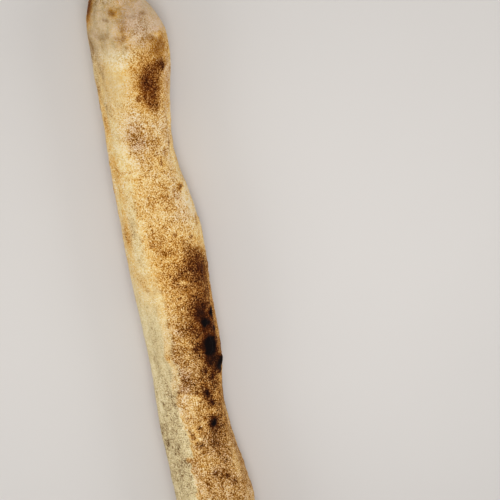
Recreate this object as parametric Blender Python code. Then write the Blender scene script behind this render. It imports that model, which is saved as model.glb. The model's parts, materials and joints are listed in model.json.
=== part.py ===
"""Pizza bread stick: one hand-stretched stick of baked pizza dough, lying on its flat underside.

Metres, +Z up. The origin lies on the resting plane under the middle of the stick. +X runs along
the stick to its tip, +Y to its pale side and -Y to its more toasted side. Angles round the stick
start at the top and grow towards the toasted side.
"""

import math
import random

import bmesh
import bpy
from mathutils import Matrix, Vector, noise

MM = 0.001
NODE = "bread_stick"

# Driving sizes of the baked stick, in millimetres
LENGTH = 280.0
HEIGHT = 22.6
WIDEST_HEIGHT = 10.6
PALE_REACH = 14.1
TOASTED_REACH = 12.4
PRESSED_FLAT = 0.9

# How square the section is: 2 is an oval. It is squarest where the dough was folded lengthways
SQUARENESS = 2.25
SQUARENESS_SWELLS = ((-45, 45, 0.35), (112, 16, -0.1))

# Swells and waists left by the hands that stretched the dough: place along, spread, size
PALE_SWELLS = ((140, 45, -3.5), (70, 14, -0.6), (-28, 18, 0.5), (-66, 10, 1.0), (-94, 16, -1.2), (-140, 30, -1.2))
TOASTED_SWELLS = (
    (116, 11, 3.4),
    (77, 12, -2.9),
    (42, 22, 1.8),
    (8, 10, 0.4),
    (-24, 12, -1.9),
    (-48, 9, -0.8),
    (-66, 16, 2.0),
    (-108, 12, -1.1),
)
TOP_SWELLS = ((112, 14, 0.6), (82, 14, -1.4), (40, 22, 0.7), (-22, 16, -1.2), (-66, 20, 0.5), (-112, 14, -1.2))
UNDERSIDE_LIFTS = ((84, 16, 0.8), (0, 14, -0.6), (-44, 14, 0.7), (-104, 12, 0.5))

# How far back from an end each side starts to turn in, and how squarely it turns
TIP_ROUNDING = {"pale": (20, 2.0), "toasted": (28, 2.1), "top": (17, 2.1), "under": (15, 1.9)}
BUTT_ROUNDING = {"pale": (23, 2.1), "toasted": (17, 2.2), "top": (19, 2.0), "under": (14, 1.9)}

# Low relief of the skin, in millimetres
LUMPS = ((31.0, 0.9), (14.0, 0.65), (7.0, 0.30))
LUMP_STRETCH = 1.6
LUMP_SEED = Vector((3.7, 1.9, 8.3))

# Long creases where the dough was drawn out: from, to, angle round, drift of the angle, width, depth
CREASES = (
    (-118, 22, -52, 10, 2.0, 0.8),
    (18, 126, -64, -9, 1.8, 0.7),
    (-60, 62, 78, 12, 1.9, 0.6),
    (62, 128, 98, -12, 1.8, 0.7),
    (-132, -64, 60, 12, 2.1, 0.9),
)

# The browned skin stands a little proud of the pale side along this edge
SKIN_EDGE_ANGLE = -27.0
SKIN_EDGE_WANDER = 6.0
SKIN_EDGE_SPAN = (-78.0, 34.0)
SKIN_EDGE_STEP = 0.5
SKIN_EDGE_SOFTNESS = 6.0
SKIN_EDGE_FADE = 60.0

# Folds of dough tucked over at both ends: distance from the end, slant, softness, step, run-out
TIP_FOLD = (9.0, 3.5, 1.5, 1.3, 16.0)
BUTT_FOLD = (10.5, -4.5, 1.6, 1.4, 18.0)
FOLD_MIDDLE_ANGLE = 20.0

# Burst and charred bubbles on the shown face: along, angle round, half length, half width, height
SHOWN_BLISTERS = (
    (108.5, 50, 1.9, 1.2, 0.7),
    (14.4, 34, 2.2, 1.6, 0.8),
    (6.2, 35, 4.6, 2.2, 1.0),
    (17.2, 55, 1.4, 1.0, 0.6),
    (-2.0, 66, 2.6, 1.6, 1.1),
    (-13.1, 19, 1.7, 1.3, 0.6),
    (-24.2, 22, 2.2, 1.8, 0.9),
)

# Bubbles scattered over the flanks, the butt and the ends
BLISTER_SEED = 23
BLISTER_BANDS = (
    # count, along from and to, angle from and to, smallest and largest half width
    (5, (-60, 118), (114, 136), (1.2, 1.9)),
    (4, (-60, 112), (-136, -114), (1.0, 1.6)),
    (3, (-126, -78), (66, 116), (1.3, 2.1)),
    (3, (-126, -80), (-48, 50), (1.1, 1.8)),
    (2, (-124, -82), (-112, -72), (1.0, 1.5)),
    (2, (132, 137), (-40, 80), (1.2, 1.7)),
    (2, (-137, -131), (-60, 60), (1.2, 1.7)),
)
BLISTER_GAP = 9.0
BLISTER_RISE = (0.55, 0.85)
BLISTER_STRETCH = (1.0, 1.4)
BLISTER_LIFT = 0.1

# Fineness of the solid
ROUND_POINTS = 46
BODY_RINGS = 64
END_RINGS = 8
END_ZONE = 16.0
BLISTER_SUBDIVISIONS = 2
SHARPEST_SMOOTH_ANGLE = math.radians(38)

CRUST_COLOUR = (0.60, 0.38, 0.17, 1.0)
CRUST_ROUGHNESS = 0.78


def clear_scene():
    for obj in list(bpy.data.objects):
        bpy.data.objects.remove(obj)


def swell(along, swells):
    """Sum of the bell-shaped swells and waists at this place along the stick."""
    return sum(size * math.exp(-0.5 * ((along - place) / spread) ** 2) for place, spread, size in swells)


def smooth_step(value):
    value = min(1.0, max(0.0, value))
    return value * value * (3.0 - 2.0 * value)


def end_gaps(along):
    """Distances from the tip and from the butt end."""
    return max(0.0, LENGTH / 2 - along), max(0.0, LENGTH / 2 + along)


def end_share(along, side):
    """How much of its full reach one side of the stick has left this close to an end, from 0 to 1."""
    share = 1.0
    for gap, rounding in zip(end_gaps(along), (TIP_ROUNDING, BUTT_ROUNDING)):
        reach, power = rounding[side]
        if gap < reach:
            share *= (1.0 - (1.0 - gap / reach) ** power) ** (1.0 / power)
    return share


def reaches(along):
    """Reach of the pale side, toasted side, top and underside from the stick's widest line."""
    pale = (PALE_REACH + swell(along, PALE_SWELLS)) * end_share(along, "pale")
    toasted = (TOASTED_REACH + swell(along, TOASTED_SWELLS)) * end_share(along, "toasted")
    top = (HEIGHT - WIDEST_HEIGHT + swell(along, TOP_SWELLS)) * end_share(along, "top")
    depth = WIDEST_HEIGHT + PRESSED_FLAT - swell(along, UNDERSIDE_LIFTS)
    under = depth * end_share(along, "under")
    return pale, toasted, top, under


def turn_between(angle, other):
    """Signed turn from one angle round the stick to another, in degrees from -180 to 180."""
    return (angle - other + 180.0) % 360.0 - 180.0


def share_along(along, start, stop):
    """0 at the start and at the stop of a stretch, 1 in its middle."""
    share = (along - start) / (stop - start)
    return math.sin(math.pi * share) ** 0.5 if 0.0 < share < 1.0 else 0.0


def crease_depth(along, angle):
    depth = 0.0
    for start, stop, middle, drift, width, deepest in CREASES:
        path = middle + drift * math.sin(2.0 * math.pi * (along - start) / (stop - start))
        away = math.radians(turn_between(angle, path)) * PALE_REACH / width
        depth += deepest * share_along(along, start, stop) * math.exp(-away * away)
    return depth


def skin_edge(along, angle):
    """Rise of the browned skin over the pale side, beside its edge."""
    wander = SKIN_EDGE_WANDER * noise.noise(Vector((along / 9.0, 0.0, 5.1)))
    past = turn_between(angle, SKIN_EDGE_ANGLE + wander)
    rise = smooth_step(0.5 + past / SKIN_EDGE_SOFTNESS) * smooth_step(1.0 - past / SKIN_EDGE_FADE)
    return SKIN_EDGE_STEP * share_along(along, *SKIN_EDGE_SPAN) * rise


def fold_rise(along, angle):
    """Step up to the dough tucked over at each end. It slants round the stick and runs out along it."""
    rise = 0.0
    for gap, fold in zip(end_gaps(along), (TIP_FOLD, BUTT_FOLD)):
        middle, slant, softness, step, run_out = fold
        past = gap - middle - slant * math.sin(math.radians(angle))
        shape = smooth_step(0.5 + past / (2.0 * softness)) * smooth_step(1.0 - past / run_out)
        rise += step * shape * (0.5 + 0.5 * math.cos(math.radians(angle - FOLD_MIDDLE_ANGLE)))
    return rise


def lumps(point):
    """Soft unevenness of the dough, drawn out along the stick."""
    rise = 0.0
    for size, height in LUMPS:
        place = Vector((point.x / LUMP_STRETCH, point.y, point.z)) / size + LUMP_SEED
        rise += height * noise.noise(place)
    return rise


def surface_point(along, angle):
    """A point of the crust, in millimetres, at this place along and this angle round."""
    pale, toasted, top, under = reaches(along)
    turn = math.radians(angle)
    power = 2.0 / (SQUARENESS + swell(along, SQUARENESS_SWELLS))
    side = math.copysign(abs(math.sin(turn)) ** power, math.sin(turn))
    up = math.copysign(abs(math.cos(turn)) ** power, math.cos(turn))
    across = -side * (toasted if side > 0 else pale)
    rise = up * (top if up > 0 else under)
    point = Vector((along, across, WIDEST_HEIGHT + rise))
    outward = Vector((0.0, -math.sin(turn), math.cos(turn)))
    fade = min(end_share(along, "pale"), end_share(along, "top"))
    relief = lumps(point) + skin_edge(along, angle) + fold_rise(along, angle) - crease_depth(along, angle)
    point += outward * relief * fade
    point.z = max(0.0, point.z)
    return point


def stations():
    """Places of the rings along the stick: even between the ends, and closer together round them."""
    half = LENGTH / 2
    body = LENGTH - 2.0 * END_ZONE
    caps = [END_ZONE * (1.0 - math.cos(math.pi / 2.0 * step / END_RINGS)) for step in range(1, END_RINGS)]
    yield from (gap - half for gap in caps)
    yield from (END_ZONE - half + body * step / BODY_RINGS for step in range(BODY_RINGS + 1))
    yield from (half - gap for gap in reversed(caps))


def stick_mesh():
    """The stick as one skin: a ring of points at each station, joined in order and closed at both ends."""
    shape = bmesh.new()
    turns = [360.0 * step / ROUND_POINTS for step in range(ROUND_POINTS)]
    rings = [[shape.verts.new(surface_point(along, angle) * MM) for angle in turns] for along in stations()]
    for near, far in zip(rings, rings[1:]):
        for step in range(ROUND_POINTS):
            after = (step + 1) % ROUND_POINTS
            shape.faces.new((near[step], far[step], far[after], near[after]))
    for ring, end in ((rings[0], -LENGTH / 2), (rings[-1], LENGTH / 2)):
        pole = shape.verts.new(Vector((end, 0.0, WIDEST_HEIGHT)) * MM)
        for step in range(ROUND_POINTS):
            shape.faces.new((ring[step], ring[(step + 1) % ROUND_POINTS], pole))
    bmesh.ops.recalc_face_normals(shape, faces=shape.faces)
    bmesh.ops.triangulate(shape, faces=shape.faces)
    mesh = bpy.data.meshes.new(NODE)
    shape.to_mesh(mesh)
    shape.free()
    return mesh


def crust_material():
    material = bpy.data.materials.new("toasted_crust")
    material.use_nodes = True
    shader = material.node_tree.nodes["Principled BSDF"]
    shader.inputs["Base Color"].default_value = CRUST_COLOUR
    shader.inputs["Roughness"].default_value = CRUST_ROUGHNESS
    shader.inputs["Metallic"].default_value = 0.0
    return material


def scattered_blisters():
    """Bubbles scattered over their bands, never closer than the gap to another."""
    draw = random.Random(BLISTER_SEED)
    placed = [(along, angle) for along, angle, *_ in SHOWN_BLISTERS]
    for count, span, turn_span, widths in BLISTER_BANDS:
        made = 0
        while made < count:
            along = draw.uniform(*span)
            angle = draw.uniform(*turn_span)
            width = draw.uniform(*widths)
            length = width * draw.uniform(*BLISTER_STRETCH)
            height = width * draw.uniform(*BLISTER_RISE)
            gaps = [math.hypot(along - x, math.radians(turn_between(angle, a)) * PALE_REACH) for x, a in placed]
            if min(gaps) > BLISTER_GAP:
                placed.append((along, angle))
                made += 1
                yield along, angle, length, width, height


def surface_frame(along, angle):
    """Middle and turned axes of a patch of crust: along the stick, round it, and outwards."""
    middle = surface_point(along, angle)
    lengthways = (surface_point(along + 0.5, angle) - surface_point(along - 0.5, angle)).normalized()
    round_way = surface_point(along, angle + 2.0) - surface_point(along, angle - 2.0)
    outward = round_way.cross(lengthways).normalized()
    axes = Matrix((lengthways, outward.cross(lengthways), outward)).transposed()
    return middle, axes


def add_blister(name, collection, along, angle, half_length, half_width, height):
    """One dome of blown-up dough, half sunk in the crust."""
    middle, axes = surface_frame(along, angle)
    place = Matrix.Translation((middle + axes.col[2] * height * BLISTER_LIFT) * MM)
    sizes = Matrix.Diagonal((half_length * MM, half_width * MM, height * MM, 1.0))
    shape = bmesh.new()
    bmesh.ops.create_icosphere(shape, subdivisions=BLISTER_SUBDIVISIONS, radius=1.0)
    bmesh.ops.transform(shape, matrix=place @ axes.to_4x4() @ sizes, verts=shape.verts)
    mesh = bpy.data.meshes.new(name)
    shape.to_mesh(mesh)
    shape.free()
    collection.objects.link(bpy.data.objects.new(name, mesh))


def fuse_blisters(stick):
    """One Boolean union joins every blister to the crust, and then the loose domes are removed."""
    blisters = bpy.data.collections.new("blisters")
    bpy.context.scene.collection.children.link(blisters)
    for number, sizes in enumerate([*SHOWN_BLISTERS, *scattered_blisters()]):
        add_blister(f"blister_{number:02d}", blisters, *sizes)
    union = stick.modifiers.new("fuse blisters", "BOOLEAN")
    union.operation = "UNION"
    union.operand_type = "COLLECTION"
    union.collection = blisters
    union.solver = "EXACT"
    bpy.context.view_layer.objects.active = stick
    bpy.ops.object.modifier_apply(modifier=union.name)
    for dome in list(blisters.objects):
        bpy.data.objects.remove(dome)
    bpy.data.collections.remove(blisters)


def centre_on_origin(mesh):
    """Put the origin under the middle of the stick's own box. The underside is already at zero."""
    low = [min(vertex.co[axis] for vertex in mesh.vertices) for axis in (0, 1)]
    high = [max(vertex.co[axis] for vertex in mesh.vertices) for axis in (0, 1)]
    mesh.transform(Matrix.Translation((-(low[0] + high[0]) / 2, -(low[1] + high[1]) / 2, 0.0)))


def build():
    clear_scene()
    stick = bpy.data.objects.new(NODE, stick_mesh())
    bpy.context.scene.collection.objects.link(stick)
    fuse_blisters(stick)
    centre_on_origin(stick.data)
    stick.data.materials.clear()
    stick.data.materials.append(crust_material())
    stick.data.shade_smooth()
    stick.data.set_sharp_from_angle(angle=SHARPEST_SMOOTH_ANGLE)


if __name__ == "__main__":
    build()
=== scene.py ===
"""A pizza bread stick with its toasted crust, lying on a pale floor, seen from above."""

import json
import math
import random

import bpy
import numpy as np
from mathutils import Matrix, Vector, noise

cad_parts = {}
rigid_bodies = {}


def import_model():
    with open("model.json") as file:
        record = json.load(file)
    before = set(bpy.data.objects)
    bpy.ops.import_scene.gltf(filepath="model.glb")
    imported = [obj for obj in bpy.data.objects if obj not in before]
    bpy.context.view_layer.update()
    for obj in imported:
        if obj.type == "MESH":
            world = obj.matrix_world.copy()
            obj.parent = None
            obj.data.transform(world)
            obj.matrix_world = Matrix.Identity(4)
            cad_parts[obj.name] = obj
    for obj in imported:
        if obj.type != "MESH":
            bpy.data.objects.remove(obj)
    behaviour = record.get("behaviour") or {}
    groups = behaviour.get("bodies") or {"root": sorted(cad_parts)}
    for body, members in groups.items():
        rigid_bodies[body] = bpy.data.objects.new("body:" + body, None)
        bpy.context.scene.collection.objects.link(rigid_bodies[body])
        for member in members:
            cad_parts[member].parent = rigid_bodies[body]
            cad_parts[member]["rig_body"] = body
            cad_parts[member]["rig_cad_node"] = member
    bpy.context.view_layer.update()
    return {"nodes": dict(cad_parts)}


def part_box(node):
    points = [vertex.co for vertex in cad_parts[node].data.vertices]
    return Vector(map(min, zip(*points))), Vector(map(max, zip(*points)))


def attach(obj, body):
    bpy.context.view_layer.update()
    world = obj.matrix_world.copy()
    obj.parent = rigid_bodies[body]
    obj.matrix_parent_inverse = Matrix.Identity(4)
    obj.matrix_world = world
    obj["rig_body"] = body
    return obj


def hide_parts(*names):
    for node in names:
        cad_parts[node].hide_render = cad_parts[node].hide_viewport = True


bl_info = {
    "name": "Pizza Bread Stick",
    "version": (1, 0, 0),
    "blender": (4, 5, 0),
    "location": "3D View > Sidebar > Bread Stick",
    "description": "Models the crust of a baked pizza bread stick and the stage it lies on",
    "category": "Add Mesh",
}

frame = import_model()

MM = 0.001
CAD_NODE = "bread_stick"
BODY = "root"

# In millimetres: the lying stick's corners, the height of the line that angles are taken about,
# and the radius that turns an angle into a length over the skin
STICK_LOW, STICK_HIGH = (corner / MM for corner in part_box(CAD_NODE))
AXIS_HEIGHT = 10.6
SKIN_RADIUS = (STICK_HIGH.y - STICK_LOW.y) * 0.42

# The crust's layers are painted in the order of their rows. Places run along the stick in
# millimetres, and angles round it in degrees, from the top towards the toasted side.
# A band: from and to along the stick, from and to round it, softness along and round, level
# A patch: place, angle, half length, half width and level
# A streak: its path as places and angles, half width and level

# How far a patch has fallen at its rim, and how steeply it goes on falling
PATCH_FALL = 0.7
PATCH_STEEPNESS = 1.3

# Left edge of the browned skin over the pale side, as places and angles
SKIN_EDGE = (
    (-126, -28), (-100, -24), (-80, -32), (-60, -24), (-42, -26), (-33, -21),
    (-28, -19), (-24, -25), (-19, -29), (-13, -31), (-8, -27), (-5, -22),
    (0, -15), (4, -24), (12, -17), (27, -15), (40, -20), (60, -24),
)

# The angle that the bands take that edge to have, and how far on both sides of it they bend with
# it and it frays, in degrees
PLAIN_EDGE = -24.0
BEND_REACH = 26.0
FRAY_REACH = 14.0

# How brown the crust is, from 0 for ivory through 0.35 for gold and 0.7 for brown to 1 for burnt
PLAIN_TOAST = 0.24
TOAST_BANDS = {
    "browned face": ((-150, 114), (-13, 68), 10, 15, 0.36),
    "gold stretch": ((34, 56), (-14, 60), 16, 15, 0.42),
    "middle face": ((6, 34), (-20, 92), 16, 22, 0.47),
    "lower face": ((-150, 8), (-24, 92), 12, 9, 0.47),
    "lower middle": ((-150, 18), (5, 92), 12, 16, 0.61),
    "lower side": ((-150, 36), (20, 92), 14, 14, 0.76),
    "lower rim": ((4, 40), (68, 100), 6, 6, 0.52),
    "low side": ((-150, -32), (14, 100), 8, 16, 0.6),
    "low rim": ((-150, -9), (52, 100), 5, 10, 0.59),
    "low end": ((-150, -44), (-24, 100), 10, 9, 0.56),
    "gold edge": ((-150, -14), (-27, -13), 10, 8, 0.41),
    "pale band": ((34, 112), (-50, -20), 14, 14, 0.16),
    "ivory side": ((-150, 36), (-90, -25), 16, 9, 0.21),
    "lower ivory": ((-150, 8), (-90, -30), 14, 9, 0.34),
    "stained ivory": ((-150, -28), (-96, -34), 14, 9, 0.36),
    "ivory rim": ((-22, 28), (-110, -62), 8, 12, 0.14),
    "creamy tip": ((117, 150), (-112, 88), 8, 24, 0.37),
    "pale side fringe": ((38, 114), (-70, -44), 10, 9, 0.26),
    "left rim": ((24, 96), (-110, -72), 10, 12, 0.17),
    "right rim": ((40, 98), (60, 96), 10, 10, 0.18),
    "toasted flank": ((-150, 124), (98, 152), 14, 24, 0.5),
    "pale flank": ((-150, 60), (-150, -104), 20, 44, 0.38),
    "underside": ((-132, 130), (150, 210), 8, 14, 0.52),
    "butt": ((-150, -128), (-180, 180), 12, 10, 0.46),
    "tip end": ((134, 150), (-180, 180), 8, 10, 0.44),
}

TOAST_PATCHES = {
    "tip corner": (131.6, -71, 4.4, 4.4, 0.84),
    "tip spot": (130.5, 3, 2, 3, 0.46),
    "tip spot side": (130.2, -5, 1.1, 0.9, 0.66),
    "tip spot tail": (126.8, 4, 2.4, 1.2, 0.46),
    "first tip fleck": (127.9, -20, 0.5, 0.6, 0.6),
    "second tip fleck": (127.9, -14, 0.5, 0.5, 0.6),
    "third tip fleck": (120.4, -29, 0.9, 0.7, 0.48),
    "tip side": (118, -62, 5, 4, 0.5),
    "tip highlight": (127, 48, 3, 3, 0.34),
    "tip right": (123.5, 33, 4, 3.6, 0.44),
    "tip left": (123, -34, 4, 4, 0.42),
    "tip arcs": (117.6, 2, 1.2, 3.4, 0.44),
    "tip rim": (127, 72, 6, 2.6, 0.26),
    "scribble": (120.6, 4, 1.6, 2.6, 0.46),
    "upper scribble": (124.6, 9, 1.2, 1.8, 0.44),
    "pale above shoulder": (121.5, 54, 3, 4.6, 0.31),
    "pale tip front": (121.5, 22, 2.2, 3, 0.38),
    "below tip fold": (110, 6, 3.4, 3.6, 0.46),
    "shoulder": (115.2, 56, 3.8, 4.6, 0.71),
    "shoulder front": (117.5, 37, 2.6, 2.2, 0.52),
    "below shoulder": (110.5, 27, 2.8, 3.6, 0.42),
    "pale by shoulder": (110.6, 65, 3.2, 2.6, 0.45),
    "pale below tip": (112, -14, 5, 4.6, 0.1),
    "pale front": (102, -20, 7, 5, 0.25),
    "left smudge": (101.5, -46, 8.5, 4.2, 0.37),
    "upper left smudge": (111, -50, 3, 3, 0.42),
    "pale left rim": (102, -78, 9, 2.2, 0.1),
    "left rim stain": (117, -80, 5, 1.6, 0.56),
    "left rim stain below": (105, -84, 2.4, 1, 0.38),
    "low left rim stain": (97.5, -79, 2, 1.6, 0.56),
    "round char": (103.6, 30, 6.2, 4.8, 0.6),
    "char edge": (103.5, 33, 5.8, 3.2, 0.88),
    "char core": (104, 26, 3.6, 1.9, 0.95),
    "left of char": (99, 26, 3, 1.5, 0.76),
    "char lobe": (109.6, 51, 2, 1.4, 0.93),
    "char link": (107.5, 40, 2.6, 1.9, 0.8),
    "char tail": (95.6, 34, 3.2, 1.7, 0.82),
    "right of char tail": (94, 60, 3, 2, 0.46),
    "rim beside char": (102, 68, 4, 1.8, 0.46),
    "purple brown halo": (84, 0, 5, 6.8, 0.44),
    "purple brown": (86.5, -6, 4.2, 3.2, 0.47),
    "pale left of purple brown": (78.6, -40, 7, 3.2, 0.05),
    "gap below char": (91, 20, 3, 3, 0.34),
    "olive spot": (83.4, 24, 1.7, 1.5, 0.58),
    "above olive spot": (87.6, 26, 2.2, 2.4, 0.34),
    "by olive spot": (84.5, 2, 3, 2.6, 0.58),
    "pale right of olive spot": (82.5, 42, 3.2, 2.8, 0.24),
    "faint left mottle": (70.5, -13, 2.8, 2.2, 0.34),
    "pale rim above bend": (71, 67, 6, 2.2, 0.06),
    "right mottle": (84, 58, 3.4, 2.6, 0.46),
    "gap under purple brown": (79, 12, 2.6, 4, 0.32),
    "pale below curl": (74.5, 29, 3, 2.8, 0.22),
    "pale above dot": (69.5, 52, 2.4, 2.6, 0.24),
    "pale at bend": (57, 4, 3.2, 3.4, 0.28),
    "small spot": (75.3, 27, 1.1, 0.9, 0.78),
    "curl shadow": (78.6, 40, 1.6, 0.8, 0.54),
    "below olive spot": (80.5, 24, 2.2, 2.4, 0.46),
    "mottle at bend": (63, -15, 4.4, 3.8, 0.4),
    "upper mottle": (64, 15, 3.2, 3.6, 0.47),
    "mottle above dot": (70, 38, 2.6, 2.6, 0.42),
    "mottle by dot": (64, 52, 2.6, 4.6, 0.5),
    "pale swell": (60, 66, 6.5, 3.4, 0.09),
    "pale swell below": (50.5, 61, 2.6, 2.2, 0.2),
    "stain on swell": (51, 73, 2.6, 1.6, 0.44),
    "brown dot": (64.9, 59, 1, 1.3, 0.8),
    "fringe stain above": (74.5, -60, 4, 2.6, 0.42),
    "fringe stain": (51, -62, 4.6, 3, 0.5),
    "pale fringe gap": (61, -66, 3, 2.6, 0.12),
    "pale fringe gap below": (41.5, -62, 3.2, 4, 0.11),
    "pale fringe gap above": (84, -58, 2.6, 3, 0.22),
    "fringe mark": (92, -64, 3.4, 1.6, 0.46),
    "upper fringe mark": (103, -68, 3, 2, 0.46),
    "middle mottle": (47.4, -8, 2.8, 2.8, 0.56),
    "stain at pale side": (54, -46, 2.6, 2.6, 0.38),
    "front mottle": (45, 1, 3, 2.4, 0.54),
    "gold gap": (39, 21, 3.6, 3.4, 0.33),
    "gap in gold": (50, 25, 3, 3.2, 0.32),
    "side patch top": (42, 46, 4, 3.6, 0.69),
    "left of gold": (40, -12, 7, 3, 0.43),
    "gold mottle": (45.6, -12, 3, 2.6, 0.55),
    "pale skin edge": (45, -31, 3, 2.8, 0.25),
    "gold face": (41, 3, 3.4, 2.6, 0.5),
    "above side patch": (45.6, 60, 2.8, 2.8, 0.25),
    "gold front": (33, 2, 3.2, 3, 0.54),
    "dark side halo": (33.4, 45, 7.8, 6, 0.79),
    "dark side patch": (35, 51, 5.6, 4.1, 0.95),
    "dark front patch": (33.5, 21, 3, 3.2, 0.8),
    "gap below front patch": (28.4, 22, 2.6, 3, 0.53),
    "purple spot": (32.5, 18, 1.8, 1.6, 0.72),
    "soft dark patch": (21.5, 26, 2.8, 2.6, 0.84),
    "beside soft patch": (24, 42, 3, 3, 0.84),
    "dark lower front": (17, 13, 4.4, 4.6, 0.7),
    "left lower front": (14, 2, 3.2, 3, 0.69),
    "front of dark zone": (20.5, 9, 2.6, 2.2, 0.62),
    "above lower front": (21.5, 13, 2.2, 2.2, 0.69),
    "pale front below gold": (21, -2, 3, 2.8, 0.46),
    "pale at skin edge": (15, -13, 2.8, 2, 0.42),
    "pale beside skin": (21, -25, 4, 1.6, 0.2),
    "brown at skin edge": (9, -14, 2.6, 2.4, 0.55),
    "char halo": (11, 42, 14, 5.8, 0.88),
    "burnt streak": (10, 43, 12, 3.8, 1),
    "gap in streak": (10.4, 40, 1.3, 2.6, 0.92),
    "brown above bubble": (8.4, 27, 4, 2.2, 0.95),
    "gap in brown": (15, 25, 2, 1.6, 0.77),
    "gold beside ovals": (18.6, 49, 1.6, 0.6, 0.8),
    "below upper oval": (14.4, 59, 1.8, 2.2, 0.93),
    "gold right of streak": (8, 71, 8, 1.6, 0.62),
    "gold beside streak": (27, 41, 3, 3, 0.77),
    "pale notch": (0, -22, 2.2, 1.8, 0.22),
    "brown by notch": (0.5, -13, 3.6, 1.8, 0.54),
    "pale ledge front": (-15.5, -23, 2.6, 1.6, 0.18),
    "stain beside skin": (12, -43, 10, 2.4, 0.31),
    "round spot": (5.8, 18, 1.2, 1, 0.88),
    "gap in dark": (9, -2, 2.4, 2.6, 0.46),
    "at skin edge": (5, -12, 3, 2.8, 0.58),
    "below round spot": (2.8, 23, 2.2, 2.2, 0.84),
    "above round spot": (9.6, 16, 2, 1.8, 0.72),
    "above fold": (-6.5, -8, 3.8, 3.8, 0.7),
    "face above fold": (-10, 10, 3.6, 4.4, 0.68),
    "below fold": (-16, -14, 4, 4, 0.33),
    "face below fold": (-20.5, 6, 3.6, 3.8, 0.57),
    "front above lowest dot": (-20.5, 13, 2.2, 2, 0.6),
    "dark under streak": (-13, 29, 4, 3, 0.84),
    "gap among dots": (-5.5, 34, 1.4, 1.2, 0.66),
    "gap above dots": (-1.6, 21, 1.8, 1.8, 0.62),
    "gap below dots": (-9.4, 34, 1.8, 1.8, 0.68),
    "pale ledge edge": (-4, -25, 2.6, 1.6, 0.22),
    "gold below dots": (-15, 47, 2.2, 1.8, 0.55),
    "rim below dots": (-15.5, 61, 2.8, 2.2, 0.66),
    "brown below dots": (-9.5, 48, 2.4, 2.2, 0.85),
    "pale low rim": (-21, 62, 2.6, 2, 0.46),
    "pale rim by dots": (-10, 61, 2, 2, 0.52),
    "front of lowest dot": (-27, 12, 2.6, 2.2, 0.45),
    "brown beside dots": (-20.5, 47, 2.6, 2.2, 0.82),
    "edge dot": (4.1, -27, 0.8, 0.7, 0.62),
    "lower dark spot": (-27.4, 30, 4, 3, 0.86),
    "brown left of low curl": (-30, -8, 2.4, 2.4, 0.64),
    "low dot": (-31.4, -9, 1.6, 1.3, 0.72),
    "low gold": (-41, -14, 4, 3, 0.6),
    "low gold front": (-39.5, -20, 2.8, 2.6, 0.56),
    "low edge dot": (-37.3, -30, 0.8, 1.3, 0.72),
    "pale low edge": (-29, -24, 4.4, 1.8, 0.24),
    "low mottle": (-33, 4, 3.4, 3, 0.6),
    "mottle by low curl": (-30, 3, 3, 2.8, 0.66),
    "pale low face": (-41, 3, 2.8, 4.6, 0.38),
    "low side mottle": (-37, 37, 5, 4, 0.67),
    "low front mottle": (-32.6, 22, 2.6, 3, 0.85),
    "pale last rim": (-43, 57, 5, 3.2, 0.42),
    "low rim mottle": (-30, 62, 4.4, 2.8, 0.65),
    "tip end stain": (136, 60, 2.6, 3, 0.64),
    "tip end side": (134, -130, 3, 4, 0.62),
    "butt stain": (-134, 26, 5, 4, 0.7),
    "butt side": (-136, -80, 3, 3, 0.62),
    "pale butt": (-128, -36, 5, 4, 0.3),
    "last mottle": (-45, 26, 3.2, 3, 0.68),
    "low front mottle below": (-45, 15, 2.6, 2.6, 0.72),
    "last dot": (-50, 40, 1.8, 1.6, 0.74),
    "dot 1": (-3.8, 28, 1.5, 1.2, 0.92),
    "dot 2": (-6.8, 41, 1.4, 1.2, 0.96),
    "dot 3": (-4.3, 47, 1.3, 1.1, 0.96),
    "dot 4": (-12.6, 24, 2.2, 1.7, 0.98),
    "dot 5": (-17.3, 32, 1.9, 1.5, 1),
    "dot 6": (-25, 24, 2.8, 2.2, 1),
    "gap above lowest dot": (-20.8, 30, 1.8, 2.2, 0.61),
    "pale stain": (33, -46, 3.5, 2.6, 0.34),
    "stain on pale side": (-27, -56, 4, 4, 0.44),
    "stain below": (-40, -53, 3.4, 3.4, 0.47),
    "stain beside low edge": (-33, -47, 2.4, 2.4, 0.56),
    "rim stain": (-26.5, -72, 2.4, 2.2, 0.54),
    "pale rim below": (-36, -72, 5, 3, 0.28),
    "pale low side": (-33, -36, 2.6, 1.6, 0.2),
    "ledge shadow": (-15, -35, 3.4, 1.2, 0.5),
    "fleck 1": (-15.2, -57, 0.8, 0.45, 0.78),
    "fleck 2": (-19.8, -54, 0.5, 0.4, 0.6),
    "fleck 3": (-6.2, -51, 0.5, 0.4, 0.56),
    "fleck 4": (9, -51, 1.2, 0.35, 0.52),
    "fleck 5": (16.4, -45, 0.9, 0.3, 0.56),
    "fleck 6": (-34.5, -49, 0.9, 0.4, 0.56),
}

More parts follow.
